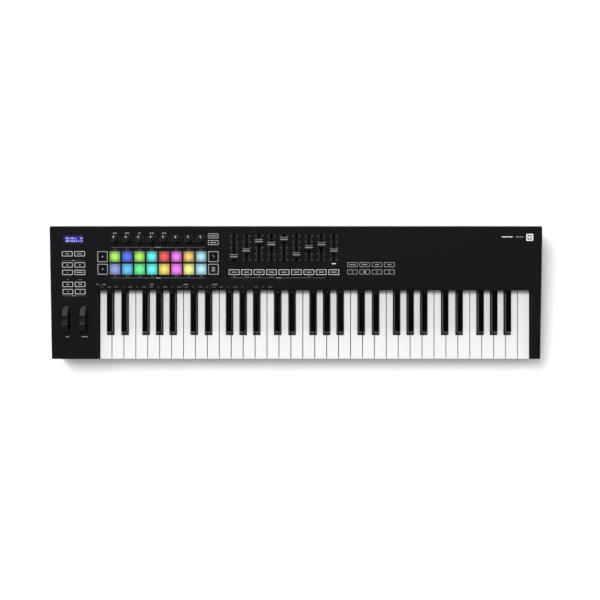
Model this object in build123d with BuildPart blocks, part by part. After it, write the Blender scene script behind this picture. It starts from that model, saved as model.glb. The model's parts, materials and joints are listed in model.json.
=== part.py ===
"""A 61-key keyboard synthesizer controller, in millimetres.

The origin is on the table, below the middle of the case. +X runs to the treble end, +Y to the back and
+Z up. The top face of the case is one plane that rises towards the back, and every control on it is
placed in that plane, by its distance across (x) and its distance back (y).
"""

from build123d import *
from math import atan, cos, degrees, sin, tan
import os

# ---------------------------------------------------------------- driving dimensions
WIDTH, DEPTH = 952.0, 258.0
FRONT, BACK = -DEPTH / 2, DEPTH / 2
HEIGHT_FRONT, HEIGHT_BACK = 51.0, 66.0
SLOPE = atan((HEIGHT_BACK - HEIGHT_FRONT) / DEPTH)
TOP_MIDDLE = (HEIGHT_FRONT + HEIGHT_BACK) / 2

WALL = 2.6
FLOOR_BOTTOM = 2.0
FLOOR_TOP = FLOOR_BOTTOM + WALL
SPLIT = 24.0
BASE_INSET = 1.0
FIT = 0.3

# Keyboard
OCTAVES = 5
OCTAVE = 163.3
WHITE_PITCH = OCTAVE / 7
KEYS_LEFT = -383.3
KEYS_RIGHT = KEYS_LEFT + (7 * OCTAVES + 1) * WHITE_PITCH
KEY_GAP = 1.5
KEY_FRONT = FRONT + 0.3
KEY_BOTTOM = 28.0
WHITE_TOP = 44.5
BLACK_TOP = 56.0
PANEL_EDGE = 4.8
EDGE_GROOVE = PANEL_EDGE + 2.8
BLACK_FRONT, BLACK_BACK = -81.2, PANEL_EDGE - 1.4
BLACK_WIDTH, BLACK_TOP_WIDTH = 12.4, 10.4
NOTCH_HALF = 7.4
PIVOT_Y, PIVOT_Z = 48.0, 34.0
ROD_RADIUS = 1.5
HINGE_WIDTH = 9.0
TAIL_FRONT, TAIL_BACK = 0.0, 60.0
DOME_Y = -20.0
WELL_LEFT, WELL_RIGHT = KEYS_LEFT - 1.2, KEYS_RIGHT + 1.2
LIP_BOTTOM = 47.5

# Each white key: place in the octave, black key on its left and on its right
WHITE_NOTES = {
    "c": (0, None, "c_sharp"),
    "d": (1, "c_sharp", "d_sharp"),
    "e": (2, "d_sharp", None),
    "f": (3, None, "f_sharp"),
    "g": (4, "f_sharp", "g_sharp"),
    "a": (5, "g_sharp", "a_sharp"),
    "b": (6, "a_sharp", None),
}
# Each black key: the white-key boundary that it stands on, and how far it is set off from it
BLACK_NOTES = {
    "c_sharp": (1, -2.4),
    "d_sharp": (2, 2.4),
    "f_sharp": (4, -3.2),
    "g_sharp": (5, 0.0),
    "a_sharp": (6, 3.2),
}

# Controls in the top face
GRID_X, GRID_PITCH = -266.7, 23.8
PAD_ROWS = (70.0, 45.7)
PAD_SIZE = (20.9, 21.5)
KNOB_Y = 103.9
FADER_X, FADER_PITCH = -23.2, 24.1
FADER_MIDDLE = 86.9
FADER_TRAVEL = 45.0
FADER_SLOT_WIDTH = 4.2
FADER_PLACES = (70.3, 81.4, 99.3, 93.3, 103.4, 74.0, 87.8, 93.3, 81.2)
MENU_COLUMNS, MENU_ROWS = (-441.9, -417.9), (75.5, 54.0, 39.6, 16.4, 2.4)
TRANSPORT_X, TRANSPORT_ROWS = 109.2, (54.5, 40.4)
DEVICE_ROWS = (109.9, 97.0)
TRACK_BUTTON_Y = 40.1
SCREEN_AT, SCREEN_SIZE = (-431.0, 103.6), (40.0, 18.4)
WHEELS_X = {"pitch": -446.2, "mod": -412.4}
WHEEL_Y, WHEEL_Z, WHEEL_RADIUS, WHEEL_WIDTH = -51.2, 37.5, 31.0, 10.7

# Depths below the top face
BOARD_DEPTH, BOARD_THICK = 10.6, 1.6
CAP_DEPTH = 8.0
CAP_PROUD = 1.3
PAD_PROUD = 1.6
PAD_DEPTH = 6.6
SENSOR_DEPTH = 7.6

PANEL = Plane(origin=(0, 0, TOP_MIDDLE), x_dir=(1, 0, 0), z_dir=(0, -sin(SLOPE), cos(SLOPE)))

GRID_COLUMNS = [GRID_X + (column - 4.5) * GRID_PITCH for column in range(10)]
PAD_COLUMNS = GRID_COLUMNS[1:9]
FADERS_X = [FADER_X + (slot - 4) * FADER_PITCH for slot in range(9)]

CASE_SCREWS = [
    *[(x, 118.0) for x in (-466.0, -352.0, -142.0, 90.0, 270.0, 466.0)],
    *[(-466.0, -118.0), (-396.0, -118.0), (-396.0, -18.0), (466.0, -118.0), (466.0, 20.0)],
]
FRAME_SCREWS = [(x, y) for x in (-330.0, -110.0, 130.0, 400.0) for y in (-87.0, 5.0)]
FEET = [(x, y) for x in (-440.0, 0.0, 440.0) for y in (-104.0, 104.0)]


def top_height(y):
    """Height of the top face at a distance back from the middle."""
    return TOP_MIDDLE + y * tan(SLOPE)


def on_panel(x, y):
    """A point of the plan as local coordinates of the sloping top face."""
    return (x, y / cos(SLOPE))


def octave_lefts():
    """Left edge of each octave."""
    return [KEYS_LEFT + octave * OCTAVE for octave in range(OCTAVES)]


def black_centre(note):
    """Centre of a black key, from its octave's left edge."""
    boundary, offset_x = BLACK_NOTES[note]
    return boundary * WHITE_PITCH + offset_x


def white_limits(note):
    """Left and right edges of a white key's head and of its tail, from its octave's left edge."""
    place, black_left, black_right = WHITE_NOTES[note]
    left = place * WHITE_PITCH + KEY_GAP / 2
    right = (place + 1) * WHITE_PITCH - KEY_GAP / 2
    tail_left = black_centre(black_left) + NOTCH_HALF if black_left else left
    tail_right = black_centre(black_right) - NOTCH_HALF if black_right else right
    return left, right, tail_left, tail_right


def tail_centre(note):
    """Centre of a key's hinge tail, from its octave's left edge."""
    if note in BLACK_NOTES:
        return black_centre(note)
    _, _, tail_left, tail_right = white_limits(note)
    return (tail_left + tail_right) / 2


# The last key is a C with no black key beside it, so its tail keeps the C's own place.
HIGH_C_LEFT = KEYS_LEFT + OCTAVES * OCTAVE
ALL_TAILS = sorted(
    [left + tail_centre(note) for left in octave_lefts() for note in (*WHITE_NOTES, *BLACK_NOTES)]
    + [HIGH_C_LEFT + tail_centre("c")]
)
WHITE_CENTRES = [KEYS_LEFT + (index + 0.5) * WHITE_PITCH for index in range(7 * OCTAVES + 1)]
BLACK_CENTRES = [left + black_centre(note) for left in octave_lefts() for note in BLACK_NOTES]

MENU_BUTTONS = [(x, y) for y in MENU_ROWS for x in MENU_COLUMNS]
SIDE_BUTTONS = [(GRID_COLUMNS[column], y) for column in (0, 9) for y in PAD_ROWS]
DEVICE_BUTTONS = [(GRID_COLUMNS[9], y) for y in DEVICE_ROWS]
TRACK_BUTTONS = [(x, TRACK_BUTTON_Y) for x in FADERS_X]
TRANSPORT_BUTTONS = [(TRANSPORT_X + GRID_PITCH * step, y) for y in TRANSPORT_ROWS for step in range(4)]
PADS = [(x, y) for y in PAD_ROWS for x in PAD_COLUMNS]

MENU_SIZE = (21.4, 10.6)
SIDE_SIZE = (20.9, 21.5)
DEVICE_SIZE = (21.2, 10.2)
TRACK_SIZE = (21.6, 11.4)
TRANSPORT_SIZE = (21.2, 10.4)

# Rear sockets, from the bass end
SOCKET_BOARD_TOP = 26.5
LOCK_X, USB_X, MIDI_X, PEDAL_X = -322.0, -300.0, -266.0, -234.0
PEDAL_BORE = 3.25
PEDAL_Z = SOCKET_BOARD_TOP + 8.0
MIDI_Z = SOCKET_BOARD_TOP + 10.0
USB_Z = SOCKET_BOARD_TOP + 5.6

os.makedirs("parts", exist_ok=True)


def save(builder, name):
    """Labels a finished piece and writes it as the node of that name."""
    part = builder.part if isinstance(builder, BuildPart) else builder
    part.label = name
    export_step(part, f"parts/{name}.step")


# ---------------------------------------------------------------- case
def button_holes(places, size):
    """Rectangular holes that leave a button room to travel."""
    with Locations(*[on_panel(x, y) for x, y in places]):
        RectangleRounded(size[0] + 2 * FIT, size[1] + 2 * FIT, 1.2)


def make_top_case():
    with BuildPart() as case:
        with BuildSketch(Plane.YZ.offset(-WIDTH / 2)):
            with BuildLine():
                Polyline(
                    (FRONT, SPLIT),
                    (FRONT, top_height(FRONT)),
                    (BACK - 4.5, top_height(BACK - 4.5)),
                    (BACK, top_height(BACK) - 3.4),
                    (BACK, SPLIT),
                    close=True,
                )
            make_face()
        extrude(amount=WIDTH)
        ends = [e for e in case.edges() if abs(e.center().X) > WIDTH / 2 - 1 and e.center().Z > SPLIT + 1]
        long_edges = [e for e in case.edges() if abs(e.center().X) < 1 and e.center().Z > HEIGHT_FRONT - 2]
        fillet([*ends, *long_edges], radius=2.0)
        # Hollows behind the keys and in the two end blocks
        for left, right, front, back in (
            (-WIDTH / 2 + WALL, WIDTH / 2 - WALL, PANEL_EDGE + WALL, BACK - WALL - 2),
            (-WIDTH / 2 + WALL, WELL_LEFT - WALL, FRONT + WALL, BACK - WALL - 2),
            (WELL_RIGHT + WALL, WIDTH / 2 - WALL, FRONT + WALL, BACK - WALL - 2),
        ):
            with BuildSketch(Plane.YZ.offset(left)):
                with BuildLine():
                    Polyline(
                        (front, SPLIT),
                        (front, top_height(front) - WALL),
                        (back, top_height(back) - WALL),
                        (back, SPLIT),
                        close=True,
                    )
                make_face()
            extrude(amount=right - left, mode=Mode.SUBTRACT)
        # Key well, open at the front, and the way under the panel's lip for the key tails
        middle = (WELL_LEFT + WELL_RIGHT) / 2
        with BuildSketch(Plane.XY):
            with Locations((middle, (FRONT - 4 + PANEL_EDGE) / 2)):
                Rectangle(WELL_RIGHT - WELL_LEFT, PANEL_EDGE - FRONT + 4)
        extrude(amount=100, mode=Mode.SUBTRACT)
        with BuildSketch(Plane.XY):
            with Locations((middle, PANEL_EDGE + 2)):
                Rectangle(WELL_RIGHT - WELL_LEFT, 8)
        extrude(amount=LIP_BOTTOM, mode=Mode.SUBTRACT)
        # Fine groove along the panel's edge over the keys
        with BuildSketch(PANEL.offset(-0.9)):
            with Locations(on_panel(middle, EDGE_GROOVE)):
                Rectangle(WELL_RIGHT - WELL_LEFT, 1.2)
        extrude(amount=3, mode=Mode.SUBTRACT)
        # Screw bosses
        for x, y in CASE_SCREWS:
            with BuildSketch(Plane.XY.offset(SPLIT)):
                with Locations((x, y)):
                    Circle(4.2)
            extrude(amount=top_height(y) - SPLIT - WALL / 2)
        with BuildSketch(Plane.XY.offset(SPLIT)):
            with Locations(*CASE_SCREWS):
                Circle(1.45)
        extrude(amount=16, mode=Mode.SUBTRACT)
        # Openings for the controls
        with BuildSketch(PANEL.offset(-5)):
            button_holes(PADS, PAD_SIZE)
            button_holes(MENU_BUTTONS, MENU_SIZE)
            button_holes(SIDE_BUTTONS, SIDE_SIZE)
            button_holes(DEVICE_BUTTONS, DEVICE_SIZE)
            button_holes(TRACK_BUTTONS, TRACK_SIZE)
            button_holes(TRANSPORT_BUTTONS, TRANSPORT_SIZE)
            button_holes([SCREEN_AT], (SCREEN_SIZE[0] - 0.4, SCREEN_SIZE[1] - 0.4))
            with Locations(*[on_panel(x, FADER_MIDDLE) for x in FADERS_X]):
                SlotOverall(FADER_TRAVEL + 8.0, FADER_SLOT_WIDTH, rotation=90)
            with Locations(*[on_panel(x, KNOB_Y) for x in PAD_COLUMNS]):
                Circle(4.0)
            with Locations(*[on_panel(x, WHEEL_Y) for x in WHEELS_X.values()]):
                RectangleRounded(WHEEL_WIDTH + 2.2, 56.0, 2.0)
        extrude(amount=10, mode=Mode.SUBTRACT)
        # Rear openings: lock slot, data socket, round socket and pedal jack
        with BuildSketch(Plane.XZ.offset(-BACK - 1)):
            with Locations((LOCK_X, USB_Z)):
                RectangleRounded(7.0, 3.0, 1.0)
            with Locations((USB_X, USB_Z)):
                RectangleRounded(13.0, 12.0, 1.0)
            with Locations((MIDI_X, MIDI_Z)):
                Circle(9.0)
            with Locations((PEDAL_X, PEDAL_Z)):
                Circle(5.2)
        extrude(amount=8, mode=Mode.SUBTRACT)
    save(case, "top_case")


def make_bottom_case():
    width, depth = WIDTH - 2 * BASE_INSET, DEPTH - 2 * BASE_INSET
    with BuildPart() as case:
        with BuildSketch(Plane.XY.offset(FLOOR_BOTTOM)):
            RectangleRounded(width, depth, 2.5)
        extrude(amount=SPLIT - FLOOR_BOTTOM)
        chamfer(case.faces().sort_by(Axis.Z)[0].edges(), length=1.2)
        with BuildSketch(Plane.XY.offset(FLOOR_TOP)):
            Rectangle(width - 2 * WALL, depth - 2 * WALL)
        extrude(amount=SPLIT, mode=Mode.SUBTRACT)
        # The front wall is low under the keys
        with BuildSketch(Plane.XY.offset(17)):
            with Locations(((WELL_LEFT + WELL_RIGHT) / 2, FRONT)):
                Rectangle(WELL_RIGHT - WELL_LEFT, 20)
        extrude(amount=20, mode=Mode.SUBTRACT)
        # Stiffening ribs under the keyboard frame
        with BuildSketch(Plane.XY.offset(FLOOR_TOP)):
            with GridLocations(76.0, 0, 11, 1):
                Rectangle(1.6, 180)
            with Locations((0, -30)):
                Rectangle(850, 1.6)
        extrude(amount=4)
        # Screw bosses for the top case, and posts under the socket board
        with BuildSketch(Plane.XY.offset(FLOOR_TOP)):
            with Locations(*CASE_SCREWS):
                Circle(5.2)
        extrude(amount=SPLIT - FLOOR_TOP)
        with BuildSketch(Plane.XY.offset(FLOOR_TOP)):
            with Locations(*[(x, y) for x in (-332, -216) for y in (78, 108)]):
                Circle(3.5)
        extrude(amount=SOCKET_BOARD_TOP - BOARD_THICK - FLOOR_TOP)
        with BuildSketch(Plane.XY.offset(FLOOR_TOP)):
            with Locations(*FRAME_SCREWS):
                Circle(4.5)
        extrude(amount=4)
        # Counterbores and clearance holes, from below
        with BuildSketch(Plane.XY):
            with Locations(*CASE_SCREWS):
                Circle(3.3)
        extrude(amount=18, mode=Mode.SUBTRACT)
        with BuildSketch(Plane.XY):
            with Locations(*CASE_SCREWS, *FRAME_SCREWS):
                Circle(1.7)
        extrude(amount=SPLIT + 1, mode=Mode.SUBTRACT)
        with BuildSketch(Plane.XY):
            with Locations(*FRAME_SCREWS):
                Circle(3.3)
        extrude(amount=FLOOR_BOTTOM + 2.4, mode=Mode.SUBTRACT)
        with BuildSketch(Plane.XY):
            with Locations(*FEET):
                Circle(9.3)
        extrude(amount=FLOOR_BOTTOM + 1.2, mode=Mode.SUBTRACT)
    save(case, "bottom_case")


def make_feet():
    with BuildPart() as feet:
        with BuildSketch(Plane.XY):
            with Locations(*FEET):
                Circle(9.0)
        extrude(amount=FLOOR_BOTTOM + 1.2)
        chamfer(feet.faces().sort_by(Axis.Z)[: len(FEET)].edges(), length=0.6)
    save(feet, "rubber_feet")


def make_screws():
    """Pan-head screws: the long row holds the case halves together, the short ones hold the key frame."""
    with BuildPart() as screws:
        for places, seat, length in ((CASE_SCREWS, 18.0, 15.0), (FRAME_SCREWS, 4.4, 9.0)):
            with BuildSketch(Plane.XY.offset(seat - 2.0)):
                with Locations(*places):
                    Circle(2.8)
            extrude(amount=2.0)
            with BuildSketch(Plane.XY.offset(seat)):
                with Locations(*places):
                    Circle(1.4)
            extrude(amount=length)
            with BuildSketch(Plane.XY.offset(seat - 2.0)):
                with Locations(*places):
                    Rectangle(3.2, 0.7)
                    Rectangle(0.7, 3.2)
            extrude(amount=1.1, mode=Mode.SUBTRACT)
    save(screws, "case_screws")


# ---------------------------------------------------------------- keyboard
def hinge_tail(centre):
    """The hidden tail that every key has, with its solid block for the pivot rod."""
    with BuildPart() as tail:
        with BuildSketch(Plane.XY.offset(KEY_BOTTOM)):
            with Locations((centre, (TAIL_FRONT + TAIL_BACK) / 2)):
                Rectangle(HINGE_WIDTH, TAIL_BACK - TAIL_FRONT)
        extrude(amount=12.0)
    return tail.part


def tail_cavity(centre):
    """What is taken out of a tail: the hollow in front of its block, and the rod bore."""
    with BuildPart() as cavity:
        with BuildSketch(Plane.XY.offset(KEY_BOTTOM)):
            with Locations((centre, (TAIL_FRONT + 38) / 2)):
                Rectangle(HINGE_WIDTH - 3.2, 38 - TAIL_FRONT)
        extrude(amount=9.6)
        with BuildSketch(Plane.YZ.offset(centre - HINGE_WIDTH)):
            with Locations((PIVOT_Y, PIVOT_Z)):
                Circle(ROD_RADIUS + 0.05)
        extrude(amount=2 * HINGE_WIDTH)
    return cavity.part


def contact_rib(centre, top):
    """The rib inside a key that presses its contact dome."""
    with BuildPart() as rib:
        with BuildSketch(Plane.XY.offset(KEY_BOTTOM - 0.5)):
            with Locations((centre, DOME_Y)):
                Rectangle(3.0, 8.0)
        extrude(amount=top - KEY_BOTTOM)
    return rib.part


def white_key(note, notched=True):
    """One hollow white key, placed from its octave's left edge."""
    left, right, tail_left, tail_right = white_limits(note)
    centre = tail_centre(note)
    if not notched:
        tail_left, tail_right = left, right
    notch_front = BLACK_FRONT - 1.5
    tail_end = PANEL_EDGE + 4
    outline = [
        (left, KEY_FRONT),
        (right, KEY_FRONT),
        (right, notch_front),
        (tail_right, notch_front),
        (tail_right, tail_end),
        (tail_left, tail_end),
        (tail_left, notch_front),
        (left, notch_front),
    ]
    corners = [p for i, p in enumerate(outline) if p != outline[i - 1]]
    tail, cavity, rib = hinge_tail(centre), tail_cavity(centre), contact_rib(centre, WHITE_TOP - 1)
    with BuildPart() as key:
        with BuildSketch(Plane.XY.offset(KEY_BOTTOM)) as plan:
            with BuildLine():
                Polyline(*corners, close=True)
            make_face()
        extrude(amount=WHITE_TOP - KEY_BOTTOM)
        front_corners = key.edges().filter_by(Axis.Z).group_by(Axis.Y)[0]
        fillet(front_corners, radius=1.0)
        rim = [e for e in key.faces().sort_by(Axis.Z)[-1].edges() if e.center().Y < tail_end - 1]
        fillet(rim, radius=0.5)
        with BuildSketch(Plane.XY.offset(KEY_BOTTOM)):
            add(plan.sketch)
            offset(amount=-1.6, kind=Kind.INTERSECTION, mode=Mode.REPLACE)
        extrude(amount=WHITE_TOP - KEY_BOTTOM - 2.4, mode=Mode.SUBTRACT)
        add(tail)
        add(cavity, mode=Mode.SUBTRACT)
        add(rib)
    return key.part


def black_key(note):
    """One hollow black key with sloping sides and front, placed from its octave's left edge."""
    centre = black_centre(note)
    base_z = WHITE_TOP - 1
    length = BLACK_BACK - BLACK_FRONT
    front_slope, back_slope = 6.5, 0.4
    top_length = length - front_slope - back_slope
    middle = (BLACK_FRONT + BLACK_BACK) / 2
    top_middle = (BLACK_FRONT + front_slope + BLACK_BACK - back_slope) / 2
    tail, cavity, rib = hinge_tail(centre), tail_cavity(centre), contact_rib(centre, 53.0)
    with BuildPart() as key:
        with BuildSketch(Plane.XY.offset(base_z)):
            with Locations((centre, middle)):
                Rectangle(BLACK_WIDTH, length)
        with BuildSketch(Plane.XY.offset(BLACK_TOP)):
            with Locations((centre, top_middle)):
                Rectangle(BLACK_TOP_WIDTH, top_length)
        loft(ruled=True)
        top_edges = key.faces().sort_by(Axis.Z)[-1].edges()
        slanted = key.edges().filter_by(lambda e: abs(e.tangent_at(0.5).Z) > 0.3)
        front_slanted = slanted.group_by(Axis.Y)[0]
        fillet([*top_edges, *front_slanted], radius=1.7)
        with BuildSketch(Plane.XY.offset(KEY_BOTTOM)):
            with Locations((centre, middle)):
                Rectangle(BLACK_WIDTH, length)
        extrude(amount=base_z - KEY_BOTTOM)
        with BuildSketch(Plane.XY.offset(KEY_BOTTOM)):
            with Locations((centre, middle + 1)):
                Rectangle(8.4, length - 14)
        extrude(amount=23.5, mode=Mode.SUBTRACT)
        add(tail)
        add(cavity, mode=Mode.SUBTRACT)
        add(rib)
    return key.part


def make_keys():
    """The five keys of one note are one moulding, repeated; the last C has no notch."""
    for note in (*WHITE_NOTES, *BLACK_NOTES):
        moulding = white_key(note) if note in WHITE_NOTES else black_key(note)
        with BuildPart() as keys:
            with Locations(*[(left, 0, 0) for left in octave_lefts()]):
                add(moulding)
        save(keys, f"keys_{note}")
    moulding = white_key("c", notched=False)
    with BuildPart() as high_c:
        with Locations((HIGH_C_LEFT, 0, 0)):
            add(moulding)
    save(high_c, "key_high_c")


def make_keybed_frame():
    left, right = WELL_LEFT + 1.2, WELL_RIGHT - 1.2
    middle, width = (left + right) / 2, right - left
    base = 8.6
    plate = base + 2.2

    rails = (
        (-116, -108, 17),
        (-102, -93, 17.4),
        (-74, -66, 17),
        (-64, -57, 19.4),
        (-38, -34, 12.8),
        (-8, -4, 12.8),
        (42, 54, 27),
        (54, 62, 25.5),
    )
    with BuildPart() as frame:
        with BuildSketch(Plane.XY.offset(base)):
            with Locations((middle, (64 - 122) / 2)):
                Rectangle(width, 64 + 122)
        extrude(amount=2.2)
        for front, back, top in rails:
            with BuildSketch(Plane.XY.offset(plate)):
                with Locations((middle, (front + back) / 2)):
                    Rectangle(width, back - front)
            extrude(amount=top - plate)
        # Pockets that thin the rear rails from below, and windows in the plate
        with BuildSketch(Plane.XY.offset(base)):
            with Locations((middle, 51)):
                with GridLocations(width / 12, 0, 12, 1):
                    Rectangle(width / 12 - 2.4, 17)
        extrude(amount=13, mode=Mode.SUBTRACT)
        with BuildSketch(Plane.XY.offset(base)):
            with Locations((middle, -50)):
                with GridLocations(width / 12, 0, 12, 1):
                    Rectangle(width / 12 - 14, 18)
        extrude(amount=3, mode=Mode.SUBTRACT)
        # A slot in the plate for the keyboard's ribbon cable
        with BuildSketch(Plane.XY.offset(base)):
            with Locations((-258, 9)):
                Rectangle(24, 6)
        extrude(amount=3, mode=Mode.SUBTRACT)
        # A post inside every key keeps it straight
        with BuildSketch(Plane.XY.offset(17)):
            with Locations(*[(x, -112) for x in WHITE_CENTRES]):
                Rectangle(3.6, 4)
            with Locations(*[(x, -70) for x in BLACK_CENTRES]):
                Rectangle(3.6, 4)
        extrude(amount=13.5)
        # Lugs between the tails carry the pivot rod
        gaps = [(a + b) / 2 for a, b in zip(ALL_TAILS, ALL_TAILS[1:])]
        ends = [ALL_TAILS[0] - HINGE_WIDTH / 2 - 1.5, ALL_TAILS[-1] + HINGE_WIDTH / 2 + 2]
        with BuildSketch(Plane.XY.offset(27)):
            with Locations(*[(x, PIVOT_Y) for x in (*gaps, *ends)]):
                Rectangle(2.0, 9.0)
        extrude(amount=11)
        with BuildSketch(Plane.YZ.offset(left - 5)):
            with Locations((PIVOT_Y, PIVOT_Z)):
                Circle(ROD_RADIUS + 0.02)
        extrude(amount=width + 10, mode=Mode.SUBTRACT)
        # Screw holes
        with BuildSketch(Plane.XY.offset(base)):
            with Locations(*FRAME_SCREWS):
                Circle(3.4)
        extrude(amount=6)
        with BuildSketch(Plane.XY.offset(base)):
            with Locations(*FRAME_SCREWS):
                Circle(1.45)
        extrude(amount=5.4, mode=Mode.SUBTRACT)
    save(frame, "keybed_frame")


def make_pivot_rod():
    start, end = ALL_TAILS[0] - 8, ALL_TAILS[-1] + 8
    with BuildPart() as rod:
        with BuildSketch(Plane.YZ.offset(start)):
            with Locations((PIVOT_Y, PIVOT_Z)):
                Circle(ROD_RADIUS)
        extrude(amount=end - start)
    save(rod, "key_pivot_rod")


def make_key_springs():
    """A bowed flat spring under each tail pushes the front of the key up."""
    with BuildPart() as springs:
        for x in ALL_TAILS:
            with BuildSketch(Plane.YZ.offset(x - 1.8)):
                with BuildLine():
                    Line((14, 10.8), (18, 10.8))
                    outer = TangentArc((18, 10.8), (36.9, 28.2), tangent=(1, 0))
                    Line(outer @ 1, (36.4, 28.3))
                    Line((14, 10.8), (14, 11.2))
                    Line((14, 11.2), (18, 11.2))
                    TangentArc((18, 11.2), (36.4, 28.3), tangent=(1, 0))
                make_face()
            extrude(amount=3.6)
    save(springs, "key_springs")


def make_key_felts():
    left, right = WELL_LEFT + 2, WELL_RIGHT - 2
    middle, width = (left + right) / 2, right - left
    with BuildPart() as felts:
        for front, back, bottom, top in (
            (-101, -94, 17.4, 19.8),
            (-63.5, -57.5, 19.4, 21.8),
            (55, 60.6, 25.5, 27.9),
        ):
            with BuildSketch(Plane.XY.offset(bottom)):
                with Locations((middle, (front + back) / 2)):
                    Rectangle(width, back - front)
            extrude(amount=top - bottom)
    save(felts, "key_felts")


def make_keybed_board():
    left, right = WELL_LEFT + 2, WELL_RIGHT - 2
    middle, width = (left + right) / 2, right - left
    with BuildPart() as board:
        with BuildSketch(Plane.XY.offset(12.8)):
            with Locations((middle, -21)):
                Rectangle(width, 34)
        extrude(amount=BOARD_THICK)
        with BuildSketch(Plane.XY.offset(12.8 + BOARD_THICK)):
            with Locations((-258, -7)):
                Rectangle(24, 5)
        extrude(amount=4.0)
    save(board, "keybed_board")


def make_contact_strips():
    """Five silicone strips, one for each octave, with a dome below every key."""
    base = 12.8 + BOARD_THICK
    lefts = octave_lefts()
    with BuildPart() as strips:
        for index, left in enumerate(lefts):
            last = index == OCTAVES - 1
            right = left + OCTAVE - 1.0 + (14.0 if last else 0.0)
            with BuildSketch(Plane.XY.offset(base)):
                with Locations(((left + 1 + right) / 2, DOME_Y)):
                    Rectangle(right - left - 1, 14)
            extrude(amount=1.2)
        with BuildSketch(Plane.XY.offset(base + 1.2)):
            with Locations(*[(x, DOME_Y) for x in ALL_TAILS]):
                Circle(4.2)
        extrude(amount=7.6, taper=12)
    save(strips, "key_contact_strips")


# ---------------------------------------------------------------- control boards and displays
def make_panel_board():
    with BuildPart() as board:
        with BuildSketch(PANEL.offset(-BOARD_DEPTH)):
            with BuildLine():
                Polyline(
                    on_panel(-460, -12),
                    on_panel(-402, -12),
                    on_panel(-402, 26),
                    on_panel(200, 26),
                    on_panel(200, 112),
                    on_panel(-460, 112),
                    close=True,
                )
            make_face()
            with Locations(*[on_panel(x, y) for x in (-380, -145, 195) for y in (30, 108)]):
                Circle(1.6, mode=Mode.SUBTRACT)
        extrude(amount=-BOARD_THICK)
        # The main chips, on the underside
        with BuildSketch(PANEL.offset(-BOARD_DEPTH - BOARD_THICK)):
            with Locations(on_panel(-300, 88), on_panel(-60, 88)):
                Rectangle(12, 12)
            with Locations(on_panel(-240, 88), on_panel(60, 90)):
                Rectangle(10, 6)
        extrude(amount=-1.4)
    save(board, "panel_board")


def make_socket_board():
    with BuildPart() as board:
        with BuildSketch(Plane.XY.offset(SOCKET_BOARD_TOP - BOARD_THICK)):
            with Locations((-274, 97)):
                Rectangle(128, 54)
        extrude(amount=BOARD_THICK)
        with BuildSketch(Plane.XY.offset(SOCKET_BOARD_TOP)):
            with Locations((-322, 82), (-262, 80)):
                Rectangle(10, 10)
        extrude(amount=1.6)
    save(board, "socket_board")


def make_screen():
    with BuildPart() as module:
        with BuildSketch(PANEL.offset(-WALL - 0.4)):
            with Locations(on_panel(*SCREEN_AT)):
                Rectangle(52, 20.5)
        extrude(amount=-5.4)
        with BuildSketch(PANEL.offset(-1.8)):
            with Locations(on_panel(*SCREEN_AT)):
                Rectangle(37.4, 13.8)
        extrude(amount=-4)
    save(module, "screen_module")
    with BuildPart() as window:
        with BuildSketch(PANEL):
            with Locations(on_panel(*SCREEN_AT)):
                RectangleRounded(SCREEN_SIZE[0] - 0.6, SCREEN_SIZE[1] - 0.6, 1.0)
        extrude(amount=-1.5)
    save(window, "screen_window")


def make_pad_sensor():
    with BuildPart() as sensor:
        with BuildSketch(PANEL.offset(-SENSOR_DEPTH)):
            with Locations(on_panel(GRID_X, sum(PAD_ROWS) / 2)):
                Rectangle(GRID_PITCH * 8 - 1.4, 47)
        extrude(amount=-(BOARD_DEPTH - SENSOR_DEPTH))
    save(sensor, "pad_sensor_sheet")


def make_potentiometers():
    """Eight rotary pots under the knobs, and one beside each wheel."""
    with BuildPart() as pots:
        knobs = [on_panel(x, KNOB_Y) for x in PAD_COLUMNS]
        with BuildSketch(PANEL.offset(-BOARD_DEPTH)):
            with Locations(*knobs):
                Rectangle(9.6, 9.6)
        extrude(amount=6.2)
        with BuildSketch(PANEL.offset(-BOARD_DEPTH + 6.2)):
            with Locations(*knobs):
                Circle(3.7)
        extrude(amount=4.0)
        with BuildSketch(PANEL.offset(-BOARD_DEPTH + 3.0)):
            with Locations(*knobs):
                Circle(3.05)
        extrude(amount=10, mode=Mode.SUBTRACT)
        for x in WHEELS_X.values():
            with BuildSketch(Plane.YZ.offset(x + 10.2)):
                with Locations((WHEEL_Y, WHEEL_Z)):
                    Circle(8.0)
                    Circle(3.05, mode=Mode.SUBTRACT)
            extrude(amount=4.6)
    save(pots, "potentiometers")


def make_fader_tracks():
    """Slide potentiometers under the nine faders."""
    with BuildPart() as tracks:
        places = [on_panel(x, FADER_MIDDLE) for x in FADERS_X]
        with BuildSketch(PANEL.offset(-BOARD_DEPTH)):
            with Locations(*places):
                Rectangle(9.0, FADER_TRAVEL + 17)
        extrude(amount=7.2)
        with BuildSketch(PANEL.offset(-BOARD_DEPTH + 1.2)):
            with Locations(*places):
                Rectangle(6.2, FADER_TRAVEL + 12)
        extrude(amount=5.0, mode=Mode.SUBTRACT)
        with BuildSketch(PANEL.offset(-BOARD_DEPTH + 6)):
            with Locations(*places):
                Rectangle(2.4, FADER_TRAVEL + 7)
        extrude(amount=5, mode=Mode.SUBTRACT)
    save(tracks, "fader_tracks")


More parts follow.
